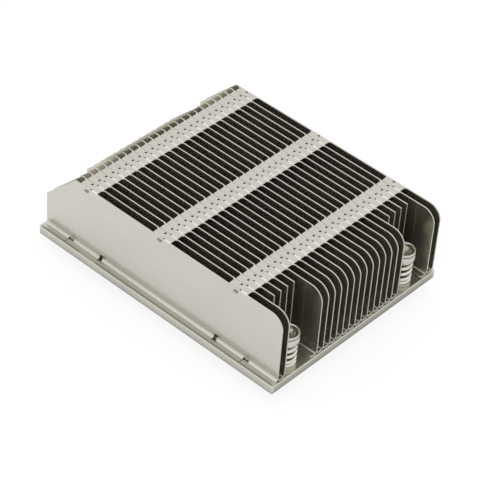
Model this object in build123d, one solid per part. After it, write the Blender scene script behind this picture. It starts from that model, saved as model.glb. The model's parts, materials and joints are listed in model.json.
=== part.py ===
"""Passive server processor heatsink: a zipper-fin stack on a flat base plate with four spring screws.

X runs along the fins towards the front end, Y runs across the fins and Z points up.
The origin is the centre of the base plate's contact face. All sizes are in millimetres.
"""
from build123d import *
import math
import os

# Screw pattern and base plate
screw_spacing_x = 94.0
screw_spacing_y = 56.0
screw_end_distance = 5.35
base_thickness = 3.2
base_corner_radius = 0.8
base_top_edge_radius = 0.3
base_bottom_edge_radius = 0.5
base_side_margin = 0.5

# Fin stack
fin_count = 26
fin_pitch = 3.02
fin_height = 25.75
fin_end_margin = 0.75
sheet_thickness = 0.4
foot_bend_radius = 1.0
stack_gap = 0.04
front_corner_radius = 5.0
back_chamfer = 13.0
foot_corner_radius = 0.7

# Top tabs that join the fins into three strips
tab_spacing_share = 0.632
tab_length = 7.66
tab_flare = 0.4
tab_fold_radius = 0.12
tab_rows = (-1, 0, 1)

# Hook of each tab, and the window and the eye that it meets in the next fin
hook_width = 1.4
hook_offset = -0.65
hook_drop = 1.1
hook_reach = 0.7
window_clearance = 0.12
eye_radius = 0.42
eye_depth = 0.75
edge_notch_offset = 0.85
edge_notch_width = 0.5
edge_notch_depth = 0.45

# Slits, fold holes and edge recess stamped in each foot, measured from the fin's ends
slit_back_inset = 10.9
slit_front_inset = 14.1
slit_width = 0.5
slit_return = 2.4
slit_bend_share = 0.35
fold_hole_back_inset = 25.0
fold_hole_front_inset = 26.95
fold_hole_width = 1.5
foot_recess_inset = 17.6
foot_recess_length = 8.0
foot_recess_depth = 0.25

# Captive screws
head_radius = 3.8
head_height = 4.3
head_edge_chamfer = 0.4
rim_width = 0.65
dish_depth = 1.2
rim_groove_depth = 0.25
rim_groove_width = 0.35
rim_groove_drop = 1.1
recess_width = 0.9
recess_span = 3.4
recess_depth = 1.4
shank_radius = 2.0
thread_radius = 2.0
tip_chamfer = 0.5
tip_length = 5.0
hole_clearance = 0.3
pocket_clearance = 0.9

# Springs
spring_rest_height = 8.4
spring_outer_radius = 3.5
spring_wire_radius = 0.65
spring_turns = 3.7
spring_closed_gap = 0.05
spring_ground_depth = 0.28
spring_ease_turns = 0.5
spring_start_angle = 280.0
spring_points_per_turn = 16

# Retaining rings, sunk in the underside of the base plate
ring_radius = 3.4
ring_thickness = 0.6
ring_groove_radius = 1.5
ring_clearance = 0.1
ring_mouth = 2.4
ring_recess_depth = 0.8
ring_recess_clearance = 0.3

# Sizes that follow from the ones above
base_length = screw_spacing_x + 2 * screw_end_distance
bend_outer = foot_bend_radius + sheet_thickness
fold_reach = fin_pitch - stack_gap
stack_width = (fin_count - 1) * fin_pitch + fold_reach
base_width = stack_width + 2 * base_side_margin
fin_half_length = base_length / 2 - fin_end_margin
short_half_length = screw_spacing_x / 2 - head_radius - pocket_clearance
hook_start = hook_offset - hook_width / 2
hook_end = hook_offset + hook_width / 2
hook_top = fin_height - hook_drop
tab_centres = [row * tab_spacing_share * fin_half_length for row in tab_rows]
head_bottom = base_thickness + spring_rest_height
head_top = head_bottom + head_height
screw_corners = {
    "front_left": (1, 1),
    "front_right": (1, -1),
    "back_left": (-1, 1),
    "back_right": (-1, -1),
}


def slab(x_range, y_range, z_range):
    """A box between two X values, two Y values and two Z values."""
    centre = [(low + high) / 2 for low, high in (x_range, y_range, z_range)]
    size = [high - low for low, high in (x_range, y_range, z_range)]
    return Pos(*centre) * Box(*size)


def foot_bend(x_start, x_end):
    """A quarter bend from the sheet's foot towards -Y, the sheet's back face lying at Y = 0."""
    centre = (-bend_outer, bend_outer)
    ring = Pos(*centre) * (Circle(bend_outer) - Circle(foot_bend_radius))
    corner = Pos(-bend_outer / 2, bend_outer / 2) * Rectangle(bend_outer, bend_outer)
    return extrude(Plane.YZ.offset(x_start) * (ring & corner), amount=x_end - x_start)


def fold_flat(x_range, y_start, z_range, corner_radius):
    """The flat of a fold, from y_start to its free edge, with rounded free corners."""
    plate = slab(x_range, (-fold_reach, y_start), z_range)
    corners = plate.edges().filter_by(Axis.Z).group_by(Axis.Y)[0]
    return fillet(corners, corner_radius)


def tab_fold(x_start, x_end):
    """The fold at a tab's root, pressed square inside and nearly square outside."""
    leg = 2 * sheet_thickness
    upright = Pos(-sheet_thickness / 2, fin_height - leg / 2) * Rectangle(sheet_thickness, leg)
    level = Pos(-leg / 2, fin_height - sheet_thickness / 2) * Rectangle(leg, sheet_thickness)
    profile = upright + level
    outer_corner = profile.vertices().sort_by(Axis.X)[-2:].sort_by(Axis.Y)[-1]
    profile = fillet(outer_corner, tab_fold_radius)
    return extrude(Plane.YZ.offset(x_start) * profile, amount=x_end - x_start)


def sheet_outline():
    """Side view of a full fin above its foot bend: front corner rounded, back corner cut off."""
    height = fin_height - bend_outer
    outline = Pos(0, bend_outer + height / 2) * Rectangle(2 * fin_half_length, height)
    top_corners = outline.vertices().group_by(Axis.Y)[-1].sort_by(Axis.X)
    outline = chamfer(top_corners[0], back_chamfer)
    front_corner = outline.vertices().group_by(Axis.Y)[-1].sort_by(Axis.X)[-1]
    return fillet(front_corner, front_corner_radius)


def foot_cuts(half_length):
    """The slits, fold holes and edge recess that fall within a foot of this half length."""
    cuts = []
    through = (-sheet_thickness, 2 * sheet_thickness)
    for x in (-fin_half_length + slit_back_inset, fin_half_length - slit_front_inset):
        if x - slit_width > -half_length and x + slit_return + slit_width < half_length:
            slit_end = -slit_bend_share * bend_outer
            bend_height = (-sheet_thickness, bend_outer)
            cuts.append(slab((x, x + slit_width), (-fold_reach - slit_width, slit_end), bend_height))
            cuts.append(slab((x, x + slit_return), (-bend_outer, slit_end), bend_height))
    for x in (-fin_half_length + fold_hole_back_inset, fin_half_length - fold_hole_front_inset):
        if abs(x) + fold_hole_width < half_length:
            across = (-bend_outer - slit_width, slit_width)
            upright = (-sheet_thickness, bend_outer + slit_width)
            cuts.append(slab((x, x + fold_hole_width), across, upright))
    recess_start = -fin_half_length + foot_recess_inset
    recess_y = (-fold_reach - foot_recess_depth, -fold_reach + foot_recess_depth)
    cuts.append(slab((recess_start, recess_start + foot_recess_length), recess_y, through))
    return cuts


def top_tab(x_centre):
    """A tab folded from the fin's top, with the hook that reaches through the next fin."""
    half = tab_length / 2
    tab = tab_fold(x_centre - half - tab_flare, x_centre + half + tab_flare)
    flat_z = (fin_height - sheet_thickness, fin_height)
    tab += fold_flat((x_centre - half, x_centre + half), -sheet_thickness, flat_z, sheet_thickness)
    top_z = (fin_height - 2 * sheet_thickness, fin_height + sheet_thickness)
    tab -= Pos(x_centre + hook_offset, -eye_depth, fin_height) * Cylinder(eye_radius, 4 * sheet_thickness)
    notch_x = x_centre + edge_notch_offset
    notch_y = (-fold_reach - edge_notch_depth, -fold_reach + edge_notch_depth)
    tab -= slab((notch_x - edge_notch_width / 2, notch_x + edge_notch_width / 2), notch_y, top_z)
    hook_x = (x_centre + hook_start, x_centre + hook_end)
    drop_y = (-fold_reach, -fold_reach + sheet_thickness)
    tab += slab(hook_x, drop_y, (hook_top - sheet_thickness, fin_height - sheet_thickness))
    tongue_y = (-fin_pitch - sheet_thickness - hook_reach, drop_y[1])
    return tab + slab(hook_x, tongue_y, (hook_top - sheet_thickness, hook_top))


def make_fin(half_length, with_tabs):
    """A stamped fin standing on Z = 0 with its back face at Y = 0."""
    outline = sheet_outline() & Rectangle(2 * half_length, 4 * fin_height)
    fin = extrude(Plane.XZ * outline, amount=sheet_thickness)
    fin += foot_bend(-half_length, half_length)
    fin += fold_flat((-half_length, half_length), -bend_outer, (0, sheet_thickness), foot_corner_radius)
    through = (-2 * sheet_thickness, sheet_thickness)
    for x in tab_centres:
        window_x = (x + hook_start - window_clearance, x + hook_end + window_clearance)
        window_z = (hook_top - sheet_thickness - window_clearance, hook_top + window_clearance)
        fin -= slab(window_x, through, window_z)
        if with_tabs:
            tab_x = (x - tab_length / 2 - tab_flare, x + tab_length / 2 + tab_flare)
            fin -= slab(tab_x, through, (fin_height - 2 * sheet_thickness, 2 * fin_height))
            fin += top_tab(x)
    for cut in foot_cuts(half_length):
        fin -= cut
    return fin


def fin_back_y(index):
    """Y of the back face of the fin with this number, counted from 1."""
    return -stack_width / 2 + fold_reach + (index - 1) * fin_pitch


def is_short(index):
    """True where a fin would come too near to a screw's axis to run its full length."""
    back = fin_back_y(index)
    for side in (-1, 1):
        axis = side * screw_spacing_y / 2
        nearest = min(max(axis, back - fold_reach), back)
        if abs(nearest - axis) < head_radius + pocket_clearance:
            return True
    return False


def make_base():
    """The flat base plate, with a clearance hole for each screw and a sunk seat for its ring below."""
    plate = Pos(0, 0, base_thickness / 2) * Box(base_length, base_width, base_thickness)
    plate = fillet(plate.edges().filter_by(Axis.Z), base_corner_radius)
    rims = plate.faces().sort_by(Axis.Z)
    plate = fillet(rims[-1].edges(), base_top_edge_radius)
    plate = fillet(plate.faces().sort_by(Axis.Z)[0].edges(), base_bottom_edge_radius)
    hole = Cylinder(shank_radius + hole_clearance, 4 * base_thickness)
    hole += Cylinder(ring_radius + ring_recess_clearance, 2 * ring_recess_depth)
    for side_x, side_y in screw_corners.values():
        plate -= Pos(side_x * screw_spacing_x / 2, side_y * screw_spacing_y / 2) * hole
    return plate


def make_screw():
    """A captive screw with a dished barrel head, a shank, a ring groove and a threaded end."""
    groove_top = ring_recess_depth + ring_clearance
    groove_bottom = ring_recess_depth - ring_thickness - ring_clearance
    groove_z = head_top - rim_groove_drop
    profile = Polyline(
        (0, -tip_length),
        (thread_radius - tip_chamfer, -tip_length),
        (thread_radius, -tip_length + tip_chamfer),
        (thread_radius, groove_bottom),
        (ring_groove_radius, groove_bottom),
        (ring_groove_radius, groove_top),
        (shank_radius, groove_top),
        (shank_radius, head_bottom),
        (head_radius - head_edge_chamfer, head_bottom),
        (head_radius, head_bottom + head_edge_chamfer),
        (head_radius, groove_z - rim_groove_width),
        (head_radius - rim_groove_depth, groove_z - rim_groove_width),
        (head_radius - rim_groove_depth, groove_z),
        (head_radius, groove_z),
        (head_radius, head_top),
        (head_radius - rim_width, head_top),
        (head_radius - 2 * rim_width, head_top - dish_depth),
        (0, head_top - dish_depth),
        close=True,
    )
    screw = revolve(Plane.XZ * make_face(profile), axis=Axis.Z)
    floor = head_top - dish_depth
    for length, width in ((recess_span, recess_width), (recess_width, recess_span)):
        screw -= slab((-length / 2, length / 2), (-width / 2, width / 2), (floor - recess_depth, head_top))
    return screw


def coil_height(turn):
    """Height of the wire's centre after this many turns: the first turn is closed, the others are open."""
    closed_pitch = 2 * spring_wire_radius + spring_closed_gap
    start = spring_wire_radius - spring_ground_depth
    rise = spring_rest_height - 2 * start
    open_pitch = (rise - closed_pitch) / (spring_turns - 1)
    ease_start = 1 - spring_ease_turns / 2
    eased = min(max(turn - ease_start, 0), spring_ease_turns)
    opened = eased**2 / (2 * spring_ease_turns) + max(turn - ease_start - spring_ease_turns, 0)
    return start + closed_pitch * turn + (open_pitch - closed_pitch) * opened


def make_spring():
    """A compression spring with ground ends, standing on the base plate under the screw head."""
    coil_radius = spring_outer_radius - spring_wire_radius
    points = []
    steps = round(spring_turns * spring_points_per_turn)
    for step in range(steps + 1):
        turn = spring_turns * step / steps
        angle = math.radians(spring_start_angle + 360 * turn)
        points.append((coil_radius * math.cos(angle), coil_radius * math.sin(angle), coil_height(turn)))
    path = Spline(*points)
    section = Plane(origin=path @ 0, z_dir=path % 0) * Circle(spring_wire_radius)
    coil = sweep(section, path=path, is_frenet=True)
    ground = Pos(0, 0, spring_rest_height / 2) * Cylinder(2 * spring_outer_radius, spring_rest_height)
    return Pos(0, 0, base_thickness) * (coil & ground)


def make_ring():
    """An open retaining ring that sits in the screw's groove, up against its seat in the base plate."""
    inner = ring_groove_radius + ring_clearance
    ring = Cylinder(ring_radius, ring_thickness) - Cylinder(inner, ring_thickness)
    mouth = slab((0, 2 * ring_radius), (-ring_mouth / 2, ring_mouth / 2), (-ring_thickness, ring_thickness))
    return Pos(0, 0, ring_recess_depth - ring_thickness / 2) * (ring - mouth)


os.makedirs("parts", exist_ok=True)

export_step(make_base(), "parts/base_plate.step")

end_fin = make_fin(fin_half_length, False)
full_fin = make_fin(fin_half_length, True)
short_fin = make_fin(short_half_length, True)
for number in range(1, fin_count + 1):
    if number == 1:
        shape = end_fin
    elif is_short(number):
        shape = short_fin
    else:
        shape = full_fin
    placed = Pos(0, fin_back_y(number), base_thickness) * shape
    export_step(placed, f"parts/fin_{number:02d}.step")

screw = make_screw()
spring = make_spring()
ring = make_ring()
for corner, (side_x, side_y) in screw_corners.items():
    place = Pos(side_x * screw_spacing_x / 2, side_y * screw_spacing_y / 2)
    export_step(place * screw, f"parts/screw_{corner}.step")
    export_step(place * spring, f"parts/spring_{corner}.step")
    export_step(place * ring, f"parts/ring_{corner}.step")
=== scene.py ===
"""Looks of the passive server heatsink: metal finishes, wound springs, screw threads, light and camera."""
import json
import math

import bmesh
import bpy
from mathutils import Matrix, Vector


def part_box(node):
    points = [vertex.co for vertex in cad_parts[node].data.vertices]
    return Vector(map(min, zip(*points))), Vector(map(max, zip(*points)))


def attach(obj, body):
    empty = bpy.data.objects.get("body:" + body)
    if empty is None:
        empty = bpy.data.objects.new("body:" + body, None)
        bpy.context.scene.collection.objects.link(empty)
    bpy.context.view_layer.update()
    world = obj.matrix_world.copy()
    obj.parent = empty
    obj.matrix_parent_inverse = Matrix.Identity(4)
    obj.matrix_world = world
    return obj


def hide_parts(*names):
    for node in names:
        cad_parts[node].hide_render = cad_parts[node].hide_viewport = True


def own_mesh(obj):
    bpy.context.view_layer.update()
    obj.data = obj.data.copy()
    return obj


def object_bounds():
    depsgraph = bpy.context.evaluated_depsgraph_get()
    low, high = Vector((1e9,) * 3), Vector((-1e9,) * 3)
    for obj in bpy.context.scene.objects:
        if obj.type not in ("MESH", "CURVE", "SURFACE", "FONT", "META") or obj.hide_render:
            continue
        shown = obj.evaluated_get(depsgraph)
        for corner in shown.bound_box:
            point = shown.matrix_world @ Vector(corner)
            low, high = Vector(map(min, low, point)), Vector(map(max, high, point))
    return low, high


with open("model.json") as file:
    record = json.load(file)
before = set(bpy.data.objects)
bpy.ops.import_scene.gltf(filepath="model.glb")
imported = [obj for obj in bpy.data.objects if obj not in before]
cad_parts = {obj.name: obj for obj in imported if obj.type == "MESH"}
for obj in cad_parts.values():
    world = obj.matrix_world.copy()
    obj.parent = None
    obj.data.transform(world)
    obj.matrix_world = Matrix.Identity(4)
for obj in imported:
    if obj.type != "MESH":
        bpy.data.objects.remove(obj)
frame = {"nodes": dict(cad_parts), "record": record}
cad_low, cad_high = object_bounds()
slot_of = {subpart["node"]: subpart["material_slot"] for subpart in frame["record"]["subparts"]}

# Names and sizes from the part's source, with lengths in metres
millimetre = 0.001
corners = ("front_left", "front_right", "back_left", "back_right")
sheet_thickness = 0.4 * millimetre
fin_pitch = 3.02 * millimetre
strip_spacing = 32.61 * millimetre
spring_outer_radius = 3.5 * millimetre
spring_wire_radius = 0.65 * millimetre
spring_turns = 3.7
spring_closed_gap = 0.05 * millimetre
spring_ground_depth = 0.28 * millimetre
spring_ease_turns = 0.5
spring_start_angle = math.radians(280)
thread_radius = 2.0 * millimetre
thread_top = 0.1 * millimetre
tip_chamfer = 0.5 * millimetre

# Detail of the springs and threads
spring_steps_per_turn = 64
spring_sides = 24
thread_pitch = 0.7 * millimetre
thread_depth = 0.43 * millimetre
thread_columns = 48
thread_rows_per_pitch = 12
thread_overlap = 0.01 * millimetre
weld_distance = 0.001 * millimetre
smooth_angle = math.radians(35)

# Head of the screws: a rim that is rounded over, and a dish darkened with painted shade
screw_low, screw_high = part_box("screw_front_left")
screw_axis = (screw_low + screw_high) / 2
dish_radius = 3.15 * millimetre
dish_reach = 2.7 * millimetre
dish_skin = 0.2 * millimetre
rim_rounding = 0.25 * millimetre
rim_segments = 3
rim_profile = 0.5
rim_sharpness = math.radians(30)
rim_tolerance = 0.01 * millimetre

# Faces between the fins, warmer in tone than the stack's outer faces: painted shade of the narrow gaps
first_fin_low, first_fin_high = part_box("fin_01")
last_fin_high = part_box("fin_26")[1]
first_fin_middle = first_fin_high.y - sheet_thickness / 2
last_fin_middle = last_fin_high.y - sheet_thickness / 2
sheet_skin = 0.1 * millimetre
upright_start = 0.85
upright_end = 0.95

# Front halves of the seams between the top tabs, lightened with a painted highlight
seam_start = 1.3 * millimetre
seam_end = 4.1 * millimetre
seam_half_width = 0.42 * millimetre
seam_skin = 0.2 * millimetre

# Cut edge of the first fin's foot, darkened with painted shade of the gap along it
foot_edge_width = 0.15 * millimetre
foot_edge_fade = 0.2 * millimetre

# Grain, patches and edges of the metals: the edges are rougher, and lightened with a painted highlight
noise_low = 0.3
noise_high = 0.7
grain_detail = 3.0
grain_strength = 0.4
patch_detail = 4.0
patch_strength = 0.3
patch_height_factor = 3
edge_samples = 6
edge_likeness = 0.9
edge_highlight_lift = 1.1
edge_roughness = 0.36

# Sockets of a mix node, for values and for colours: its two inputs and its output
mix_sockets = {"FLOAT": (2, 3, 0), "RGBA": (6, 7, 2)}

# Camera, as fitted to the photo's fin lines and base corners: metres, and millimetres for the sensor
camera_azimuth = math.radians(40.10)
camera_elevation = math.radians(40.73)
camera_roll = math.radians(4.48)
camera_distance = 0.7049
camera_right = 0.00138
camera_up = 0.00486
camera_clip_start = 0.01
camera_clip_end = 10.0
focal_pixels = 2136.8
image_pixels = 480
sensor_width = 36.0

# Stage and light, with lengths in metres
floor_size = 3.0
floor_shade = 0.8
floor_shade_in_metal = 0.65
floor_shade_seen = 0.2
floor_glow_seen = 0.84
floor_glow_in_metal_near = 0.445
floor_glow_in_metal_far = 0.33
floor_contact_start = 1.0 * millimetre
floor_contact_end = 6.3 * millimetre
floor_fade_direction = (0.64, 0.77, 0.0)
floor_fade_start = -0.015
floor_fade_end = 0.035
world_colour = (1.0, 0.995, 0.98)
world_strength = 0.9
horizon_glow = 0.9
zenith_glow = 1.05
key_size = 0.5
key_power = 0.5
key_place = (-0.25, -0.2, 1.0)


def opaque(colour):
    """A colour with full alpha."""
    return (*colour, 1.0)


def join_nodes(tree, source, target):
    """Link one node's output socket to another node's input socket."""
    tree.links.new(source, target)


def set_or_join(tree, source, target):
    """Give an input socket a fixed value, or link it to an output socket."""
    if isinstance(source, bpy.types.NodeSocket):
        join_nodes(tree, source, target)
    else:
        target.default_value = source


def calculate(tree, operation, first, second=0.0):
    """The result of one step of arithmetic on values or sockets."""
    node = tree.nodes.new("ShaderNodeMath")
    node.operation = operation
    set_or_join(tree, first, node.inputs[0])
    set_or_join(tree, second, node.inputs[1])
    return node.outputs["Value"]


def dot_product(tree, first, second):
    """The dot product of two vectors or sockets."""
    node = tree.nodes.new("ShaderNodeVectorMath")
    node.operation = "DOT_PRODUCT"
    set_or_join(tree, first, node.inputs[0])
    set_or_join(tree, second, node.inputs[1])
    return node.outputs["Value"]


def rise(tree, source, start, end, low=0.0, high=1.0):
    """A level that goes from low to high as a value goes from start to end, and no further."""
    ranged = tree.nodes.new("ShaderNodeMapRange")
    ranged.inputs["From Min"].default_value = start
    ranged.inputs["From Max"].default_value = end
    ranged.inputs["To Min"].default_value = low
    ranged.inputs["To Max"].default_value = high
    join_nodes(tree, source, ranged.inputs["Value"])
    return ranged.outputs["Result"]


def mix(tree, kind, mask, first, second, blend="MIX"):
    """A value or a colour that goes from first to second where the mask is 1."""
    node = tree.nodes.new("ShaderNodeMix")
    node.data_type = kind
    node.blend_type = blend
    first_place, second_place, result_place = mix_sockets[kind]
    join_nodes(tree, mask, node.inputs["Factor"])
    set_or_join(tree, first, node.inputs[first_place])
    set_or_join(tree, second, node.inputs[second_place])
    return node.outputs[result_place]


def all_of(tree, first, *others):
    """A mask that is 1 where every one of these masks is 1."""
    common = first
    for mask in others:
        common = calculate(tree, "MULTIPLY", common, mask)
    return common


def coordinates(tree, kind):
    """The X, Y and Z sockets of one kind of coordinate. The object kind is the part's own frame."""
    source = tree.nodes.new("ShaderNodeTexCoord")
    apart = tree.nodes.new("ShaderNodeSeparateXYZ")
    join_nodes(tree, source.outputs[kind], apart.inputs["Vector"])
    return apart.outputs


def past(tree, source, limit):
    """How far a value lies past a limit, on either side of zero."""
    return calculate(tree, "SUBTRACT", calculate(tree, "ABSOLUTE", source), limit)


def off_nearest(tree, source, spacing):
    """How far a value is from the nearest whole multiple of a spacing."""
    nearest = calculate(tree, "ROUND", calculate(tree, "DIVIDE", source, spacing))
    return calculate(tree, "SUBTRACT", source, calculate(tree, "MULTIPLY", nearest, spacing))


def painted_shade_between_fins(tree):
    """A mask for painted shade: 1 on the upright faces between the fins, and 0 on edges, folds and outer
    faces.
    """
    spot = coordinates(tree, "Object")
    facing = coordinates(tree, "Normal")
    after_first = rise(tree, spot["Y"], first_fin_middle, first_fin_middle + sheet_skin)
    before_last = rise(tree, spot["Y"], last_fin_middle, last_fin_middle - sheet_skin)
    upright = rise(tree, calculate(tree, "ABSOLUTE", facing["Y"]), upright_start, upright_end)
    return all_of(tree, after_first, before_last, upright)


def painted_highlight_on_seams(tree):
    """A mask for a painted highlight: 1 along the front halves of the seams between the top tabs, and 0
    elsewhere.
    """
    spot = coordinates(tree, "Object")
    along = off_nearest(tree, spot["X"], strip_spacing)
    from_first = calculate(tree, "SUBTRACT", spot["Y"], first_fin_high.y)
    across = calculate(tree, "ABSOLUTE", off_nearest(tree, from_first, fin_pitch))
    on_seam = rise(tree, across, seam_half_width, seam_half_width - seam_skin)
    begun = rise(tree, along, seam_start, seam_start + seam_skin)
    not_ended = rise(tree, along, seam_end, seam_end - seam_skin)
    on_top = rise(tree, spot["Z"], cad_high.z - seam_skin, cad_high.z - seam_skin / 2)
    before_last = rise(tree, spot["Y"], last_fin_middle, last_fin_middle - sheet_skin)
    return all_of(tree, on_seam, begun, not_ended, on_top, before_last)


def painted_shade_on_foot_edge(tree):
    """A mask for painted shade: 1 along the free edge of the first fin's foot, and 0 elsewhere."""
    edge_end = first_fin_low.y + foot_edge_width
    return rise(tree, coordinates(tree, "Object")["Y"], edge_end + foot_edge_fade, edge_end)


def painted_shade_in_head_dish(tree):
    """A mask for painted shade: 1 inside the dish of any of the screw heads, and 0 elsewhere."""
    spot = coordinates(tree, "Object")
    off_x = past(tree, spot["X"], screw_axis.x)
    off_y = past(tree, spot["Y"], screw_axis.y)
    squares = [calculate(tree, "MULTIPLY", off, off) for off in (off_x, off_y)]
    distance = calculate(tree, "SQRT", calculate(tree, "ADD", *squares))
    within = rise(tree, distance, dish_radius, dish_radius - dish_skin)
    dish_bottom = screw_high.z - dish_reach
    above = rise(tree, spot["Z"], dish_bottom - dish_skin, dish_bottom)
    return all_of(tree, within, above)


def stretched_noise(tree, scale, detail):
    """Noise in the part's own frame, with its own scale along each axis, in cycles per metre."""
    place = tree.nodes.new("ShaderNodeTexCoord")
    mapping = tree.nodes.new("ShaderNodeMapping")
    mapping.inputs["Scale"].default_value = scale
    noise = tree.nodes.new("ShaderNodeTexNoise")
    noise.inputs["Scale"].default_value = 1.0
    noise.inputs["Detail"].default_value = detail
    join_nodes(tree, place.outputs["Object"], mapping.inputs["Vector"])
    join_nodes(tree, mapping.outputs["Vector"], noise.inputs["Vector"])
    return noise.outputs["Fac"]


def two_tones(tree, noise, dark, light):
    """A colour that runs from dark to light over a noise's middle range."""
    ramp = tree.nodes.new("ShaderNodeValToRGB")
    ends = ((noise_low, dark), (noise_high, light))
    for element, (position, colour) in zip(ramp.color_ramp.elements, ends):
        element.position = position
        element.color = opaque(colour)
    join_nodes(tree, noise, ramp.inputs["Fac"])
    return ramp.outputs["Color"]


def bump(tree, source, distance, strength, normal):
    """A bump of this height in metres, laid over a normal."""
    node = tree.nodes.new("ShaderNodeBump")
    node.inputs["Distance"].default_value = distance
    node.inputs["Strength"].default_value = strength
    join_nodes(tree, source, node.inputs["Height"])
    join_nodes(tree, normal, node.inputs["Normal"])
    return node.outputs["Normal"]


def soft_edges(tree, radius):
    """The surface's normal with its edges eased over this radius, and a mask that is 1 on those edges."""
    eased = tree.nodes.new("ShaderNodeBevel")
    eased.samples = edge_samples
    eased.inputs["Radius"].default_value = radius
    plain = tree.nodes.new("ShaderNodeNewGeometry")
    likeness = dot_product(tree, eased.outputs["Normal"], plain.outputs["Normal"])
    return eased.outputs["Normal"], rise(tree, likeness, 1.0, edge_likeness)


def drawn_metal(name, dark, light, roughness, grain, grain_height, patch, metallic, edge_radius, tints=()):
    """Metal with fine lines along one direction, a slow change of tone over patches, and rough edges with
    a painted highlight.

    Grain and patch are noise scales along the three axes. Each tint is a mask's function and a colour.
    """
    material = bpy.data.materials.new(name)
    material.use_nodes = True
    tree = material.node_tree
    shader = tree.nodes["Principled BSDF"]
    shader.inputs["Metallic"].default_value = metallic
    lines = stretched_noise(tree, grain, grain_detail)
    patches = stretched_noise(tree, patch, patch_detail)
    normal, edges = soft_edges(tree, edge_radius)
    tone = two_tones(tree, patches, dark, light)
    # painted highlight: the edges are made lighter than the metal's own tone
    painted_edge_highlight = [min(1.0, edge_highlight_lift * value) for value in light]
    tone = mix(tree, "RGBA", edges, tone, opaque(painted_edge_highlight))
    for mask, tint in tints:
        tone = mix(tree, "RGBA", mask(tree), tone, opaque(tint), "MULTIPLY")
    join_nodes(tree, tone, shader.inputs["Base Color"])
    gloss = rise(tree, patches, noise_low, noise_high, *roughness)
    join_nodes(tree, mix(tree, "FLOAT", edges, gloss, edge_roughness), shader.inputs["Roughness"])
    relief = bump(tree, lines, grain_height, grain_strength, normal)
    relief = bump(tree, patches, grain_height * patch_height_factor, patch_strength, relief)
    join_nodes(tree, relief, shader.inputs["Normal"])
    return material


# Finish of each material slot
finishes = {
    "fin_aluminium": dict(
        dark=(0.59, 0.57, 0.52), light=(0.62, 0.60, 0.55), roughness=(0.25, 0.28), metallic=0.96,
        grain=(90.0, 5200.0, 5200.0), grain_height=0.0006 * millimetre,
        patch=(60.0, 90.0, 140.0), edge_radius=0.15 * millimetre,
        tints=(
            # painted shade: a warm, slightly darker tone on the faces between the fins
            (painted_shade_between_fins, (1.0, 0.99, 0.92)),
            # painted shade: a dark line along the free edge of the first fin's foot
            (painted_shade_on_foot_edge, (0.52, 0.50, 0.46)),
            # painted highlight: the front halves of the seams between the top tabs are made lighter
            (painted_highlight_on_seams, (1.5, 1.5, 1.52)))),
    "base_nickel": dict(
        dark=(0.57, 0.56, 0.50), light=(0.65, 0.64, 0.57), roughness=(0.16, 0.28), metallic=0.95,
        grain=(700.0, 2600.0, 2600.0), grain_height=0.003 * millimetre,
        patch=(50.0, 50.0, 50.0), edge_radius=0.2 * millimetre),
    "screw_steel": dict(
        dark=(0.58, 0.56, 0.50), light=(0.66, 0.64, 0.58), roughness=(0.18, 0.28), metallic=0.95,
        grain=(900.0, 900.0, 5200.0), grain_height=0.003 * millimetre,
        patch=(260.0, 260.0, 260.0), edge_radius=0.15 * millimetre,
        # painted shade: a darker tone inside the dish of each screw head
        tints=((painted_shade_in_head_dish, (0.62, 0.61, 0.55)),)),
    "spring_steel": dict(
        dark=(0.68, 0.66, 0.60), light=(0.76, 0.74, 0.68), roughness=(0.14, 0.22), metallic=1.0,
        grain=(1500.0, 1500.0, 6000.0), grain_height=0.002 * millimetre,
        patch=(300.0, 300.0, 300.0), edge_radius=0.1 * millimetre),
    "ring_steel": dict(
        dark=(0.34, 0.335, 0.325), light=(0.42, 0.415, 0.40), roughness=(0.25, 0.38), metallic=0.95,
        grain=(1800.0, 1800.0, 1800.0), grain_height=0.003 * millimetre,
        patch=(300.0, 300.0, 300.0), edge_radius=0.1 * millimetre),
}
materials = {slot: drawn_metal(slot, **finish) for slot, finish in finishes.items()}


def finished_mesh(name, shape):
    """A mesh from a finished bmesh, which is freed."""
    mesh = bpy.data.meshes.new(name)
    shape.to_mesh(mesh)
    shape.free()
    return mesh


def add_object(name, data):
    """A new object in the scene."""
    item = bpy.data.objects.new(name, data)
    bpy.context.scene.collection.objects.link(item)
    return item


def make_piece(name, shape, body, slot):
    """A new piece from a finished bmesh, shaded smooth up to sharp edges, that rides on a body."""
    mesh = finished_mesh(name, shape)
    piece = add_object(name, mesh)
    mesh.materials.append(materials[slot])
    mesh.set_sharp_from_angle(angle=smooth_angle)
    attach(piece, body)
    return piece


def closed_tube(rings):
    """A closed mesh through rings of points: four-sided faces between them and a flat face at each end."""
    shape = bmesh.new()
    rows = [[shape.verts.new(point) for point in ring] for ring in rings]
    for first, second in zip(rows, rows[1:]):
        count = len(first)
        for i in range(count):
            j = (i + 1) % count
            shape.faces.new((first[i], first[j], second[j], second[i]))
    shape.faces.new(rows[0])
    shape.faces.new(rows[-1])
    bmesh.ops.recalc_face_normals(shape, faces=shape.faces[:])
    return shape


def cut_flat(shape, height, keep_above):
    """Cut a closed mesh off flat at a height and close the cut."""
    everything = shape.verts[:] + shape.edges[:] + shape.faces[:]
    cut = bmesh.ops.bisect_plane(
        shape, geom=everything, plane_co=(0, 0, height), plane_no=(0, 0, 1),
        clear_inner=keep_above, clear_outer=not keep_above)
    edges = [part for part in cut["geom_cut"] if isinstance(part, bmesh.types.BMEdge)]
    bmesh.ops.holes_fill(shape, edges=edges, sides=0)


def axis_of(screw_node):
    """The middle of a screw, which lies on its axis."""
    low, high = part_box(screw_node)
    return (low + high) / 2


def coil_height(turn, height):
    """Height of the wire's centre after this many turns: the first turn is closed, the others are open."""
    closed_pitch = 2 * spring_wire_radius + spring_closed_gap
    start = spring_wire_radius - spring_ground_depth
    open_pitch = (height - 2 * start - closed_pitch) / (spring_turns - 1)
    ease_start = 1 - spring_ease_turns / 2
    eased = min(max(turn - ease_start, 0), spring_ease_turns)
    opened = eased**2 / (2 * spring_ease_turns) + max(turn - ease_start - spring_ease_turns, 0)
    return start + closed_pitch * turn + (open_pitch - closed_pitch) * opened


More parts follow.
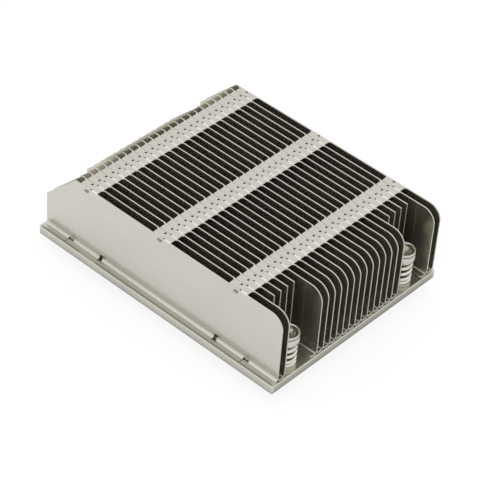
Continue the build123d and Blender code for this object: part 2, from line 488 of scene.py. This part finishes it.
def wire_ring(turn, height):
    """Points round the spring's wire after this many turns."""
    angle = spring_start_angle + 2 * math.pi * turn
    outward = Vector((math.cos(angle), math.sin(angle), 0))
    coil_radius = spring_outer_radius - spring_wire_radius
    middle = outward * coil_radius + Vector((0, 0, coil_height(turn, height)))
    ring = []
    for side in range(spring_sides):
        around = 2 * math.pi * side / spring_sides
        offset = outward * math.cos(around) + Vector((0, 0, math.sin(around)))
        ring.append(middle + offset * spring_wire_radius)
    return ring


def wound_spring(node, axis):
    """A wire wound as the solid is, with flat ground ends: the shape, its foot's level and its height."""
    low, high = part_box(node)
    height = high.z - low.z
    steps = round(spring_turns * spring_steps_per_turn)
    shape = closed_tube([wire_ring(spring_turns * step / steps, height) for step in range(steps + 1)])
    cut_flat(shape, 0.0, True)
    cut_flat(shape, height, False)
    bmesh.ops.translate(shape, vec=(axis.x, axis.y, low.z), verts=shape.verts[:])
    return shape, low.z, height


def thread_point(axis, bottom, z, turn):
    """A point of the thread's surface at this height and share of a turn, pressed in along a helix."""
    phase = (z / thread_pitch - turn) % 1.0
    depth = thread_depth * abs(2 * phase - 1)
    radius = min(thread_radius - depth, thread_radius - tip_chamfer + (z - bottom))
    angle = 2 * math.pi * turn
    return axis.x + radius * math.cos(angle), axis.y + radius * math.sin(angle), z


def thread_surface(axis, bottom):
    """A screw's threaded end, with a chamfered tip."""
    length = thread_top - bottom
    rows = round(length / thread_pitch * thread_rows_per_pitch)
    levels = [thread_top - length * row / rows for row in range(rows + 1)]
    turns = [column / thread_columns for column in range(thread_columns)]
    return closed_tube([[thread_point(axis, bottom, z, turn) for turn in turns] for z in levels])


def round_rim(shape, top):
    """Round over the sharp edges at the top of a screw's head."""
    sharp = [edge for edge in shape.edges if edge.calc_face_angle(0.0) > rim_sharpness]
    rim = [edge for edge in sharp if all(top - vert.co.z < rim_tolerance for vert in edge.verts)]
    bmesh.ops.bevel(shape, geom=rim, offset=rim_rounding, offset_type="OFFSET", segments=rim_segments,
                    profile=rim_profile, affect="EDGES", clamp_overlap=True)


def threaded_screw(node):
    """The solid's head and shank with a rounded rim, and a real thread in place of its plain end."""
    low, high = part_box(node)
    shape = bmesh.new()
    shape.from_mesh(frame["nodes"][node].data)
    bmesh.ops.remove_doubles(shape, verts=shape.verts[:], dist=weld_distance)
    cut_flat(shape, thread_top - thread_overlap, True)
    round_rim(shape, high.z)
    thread = finished_mesh("thread", thread_surface(axis_of(node), low.z))
    shape.from_mesh(thread)
    bpy.data.meshes.remove(thread)
    return shape


# Finish of the solids
for name, node in frame["nodes"].items():
    node.data.materials.clear()
    node.data.materials.append(materials[slot_of[name]])

# Wound springs, and screws with threads
for corner in corners:
    spring_node = f"spring_{corner}"
    screw_node = f"screw_{corner}"
    axis = axis_of(screw_node)
    shape, foot, height = wound_spring(spring_node, axis)
    spring = make_piece(f"wound_spring_{corner}", shape, "heatsink", slot_of[spring_node])
    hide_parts(spring_node)
    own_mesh(spring)
    screw = make_piece(f"threaded_screw_{corner}", threaded_screw(screw_node), f"{corner}_screw",
                       slot_of[screw_node])
    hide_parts(screw_node)


def by_ray(tree, others, in_metal, seen):
    """A level that has its own value for glossy rays, and one for camera and transmission rays."""
    path = tree.nodes.new("ShaderNodeLightPath")
    glossy = mix(tree, "FLOAT", path.outputs["Is Glossy Ray"], others, in_metal)
    direct = calculate(tree, "MAXIMUM", path.outputs["Is Camera Ray"], path.outputs["Is Transmission Ray"])
    return mix(tree, "FLOAT", direct, glossy, seen)


def clear_of_base(tree):
    """A mask for the base's painted shadow: 0 on the floor along the base plate's outline, and 1 away from
    it.
    """
    spot = coordinates(tree, "Object")
    beyond_x = past(tree, spot["X"], cad_high.x)
    beyond_y = past(tree, spot["Y"], cad_high.y)
    off_outline = calculate(tree, "ABSOLUTE", calculate(tree, "MAXIMUM", beyond_x, beyond_y))
    return rise(tree, off_outline, floor_contact_start, floor_contact_end)


def fading_glow(tree):
    """The floor's glow in reflections: painted light that fades across the floor, from the lit side to the
    far side.
    """
    place = tree.nodes.new("ShaderNodeTexCoord")
    along = dot_product(tree, place.outputs["Object"], floor_fade_direction)
    levels = (floor_glow_in_metal_near, floor_glow_in_metal_far)
    return rise(tree, along, floor_fade_start, floor_fade_end, *levels)


def floor_white():
    """The floor's finish: white to the camera, duller in reflections with a painted shadow by the base,
    and see-through from below.
    """
    material = bpy.data.materials.new("floor_white")
    material.use_nodes = True
    tree = material.node_tree
    tree.nodes.clear()
    # painted shadow: the floor is darker in reflections along the base plate's outline
    clear = clear_of_base(tree)
    shade = tree.nodes.new("ShaderNodeBsdfDiffuse")
    shade_in_metal = calculate(tree, "MULTIPLY", clear, floor_shade_in_metal)
    shade_level = by_ray(tree, floor_shade, shade_in_metal, floor_shade_seen)
    join_nodes(tree, shade_level, shade.inputs["Color"])
    glow = tree.nodes.new("ShaderNodeEmission")
    glow_in_metal = calculate(tree, "MULTIPLY", clear, fading_glow(tree))
    glow_level = by_ray(tree, 0.0, glow_in_metal, floor_glow_seen)
    join_nodes(tree, glow_level, glow.inputs["Strength"])
    both = tree.nodes.new("ShaderNodeAddShader")
    join_nodes(tree, shade.outputs["BSDF"], both.inputs[0])
    join_nodes(tree, glow.outputs["Emission"], both.inputs[1])
    geometry = tree.nodes.new("ShaderNodeNewGeometry")
    through = tree.nodes.new("ShaderNodeBsdfTransparent")
    sided = tree.nodes.new("ShaderNodeMixShader")
    join_nodes(tree, geometry.outputs["Backfacing"], sided.inputs["Fac"])
    join_nodes(tree, both.outputs["Shader"], sided.inputs[1])
    join_nodes(tree, through.outputs["BSDF"], sided.inputs[2])
    output = tree.nodes.new("ShaderNodeOutputMaterial")
    join_nodes(tree, sided.outputs["Shader"], output.inputs["Surface"])
    return material


def make_floor():
    """A plain pale floor at the level of the screw tips."""
    half = floor_size / 2
    places = ((-half, -half), (half, -half), (half, half), (-half, half))
    shape = bmesh.new()
    shape.faces.new([shape.verts.new((x, y, cad_low.z)) for x, y in places])
    floor = add_object("floor", finished_mesh("floor", shape))
    floor.data.materials.append(floor_white())


def make_light():
    """A white surround that grows brighter upwards in reflections, and one large soft lamp."""
    world = bpy.data.worlds.new("studio")
    bpy.context.scene.world = world
    world.use_nodes = True
    tree = world.node_tree
    surround = tree.nodes["Background"]
    surround.inputs["Color"].default_value = opaque(world_colour)
    glow = rise(tree, coordinates(tree, "Generated")["Z"], 0.0, 1.0, horizon_glow, zenith_glow)
    join_nodes(tree, by_ray(tree, world_strength, glow, glow), surround.inputs["Strength"])
    lamp = bpy.data.lights.new("key", "AREA")
    lamp.size = key_size
    lamp.energy = key_power
    key = add_object("key", lamp)
    key.location = key_place
    key.rotation_euler = (-Vector(key_place)).to_track_quat("-Z", "Y").to_euler()


def make_camera():
    """A camera at the photo's place, turned and rolled as the photo is."""
    level = Vector((math.cos(camera_azimuth), math.sin(camera_azimuth), 0))
    outward = Vector((math.sin(camera_azimuth), -math.cos(camera_azimuth), 0))
    back = outward * math.cos(camera_elevation) + Vector((0, 0, math.sin(camera_elevation)))
    upright = back.cross(level)
    right = level * math.cos(camera_roll) + upright * math.sin(camera_roll)
    up = upright * math.cos(camera_roll) - level * math.sin(camera_roll)
    place = right * camera_right + up * camera_up + back * camera_distance
    data = bpy.data.cameras.new("camera")
    data.sensor_width = sensor_width
    data.lens = focal_pixels / image_pixels * sensor_width
    data.clip_start = camera_clip_start
    data.clip_end = camera_clip_end
    camera = add_object("camera", data)
    turn = Matrix((right, up, back)).transposed().to_4x4()
    camera.matrix_world = Matrix.Translation(place) @ turn
    bpy.context.scene.camera = camera


make_floor()
make_light()
make_camera()
bpy.context.scene.view_settings.view_transform = "Standard"
